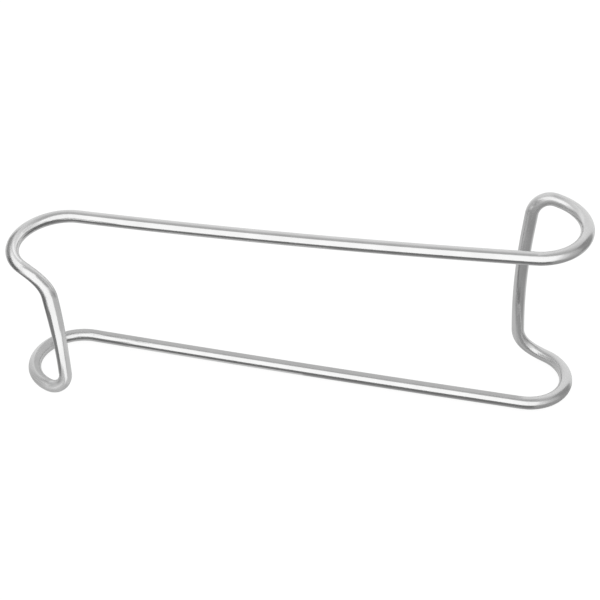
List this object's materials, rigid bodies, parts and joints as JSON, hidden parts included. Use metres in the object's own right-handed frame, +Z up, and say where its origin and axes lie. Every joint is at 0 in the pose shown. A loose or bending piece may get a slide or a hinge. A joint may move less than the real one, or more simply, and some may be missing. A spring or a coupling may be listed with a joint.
{
  "type": "wire cheek retractor",
  "caption": "Closed loop of polished round steel wire: long slim rails, a wide hook rolled to the back and a narrow hook rolled to the front, for holding back a lip or cheek.",
  "frame": {"origin": "on the table, under the middle of the bounding box", "axes": "+X along the rails towards the wide hook, +Y to the back where the wide hook rolls, +Z up from the table"},
  "size_m": [0.14, 0.0464, 0.0508],
  "materials": {
    "polished_wire": "polished stainless steel wire",
    "ground_weld": "weld ground flush and polished"
  },
  "bodies": {
    "root": {"lower_rail": "polished_wire", "upper_rail_narrow_half": "polished_wire", "upper_rail_wide_half": "polished_wire", "butt_weld": "ground_weld", "wide_curl_lower": "polished_wire", "wide_curl_upper": "polished_wire", "wide_corner_lower": "polished_wire", "wide_corner_upper": "polished_wire", "wide_crossbar": "polished_wire", "narrow_curl_lower": "polished_wire", "narrow_curl_upper": "polished_wire", "narrow_corner_lower": "polished_wire", "narrow_corner_upper": "polished_wire", "narrow_crossbar": "polished_wire"}
  },
  "joints": []
}
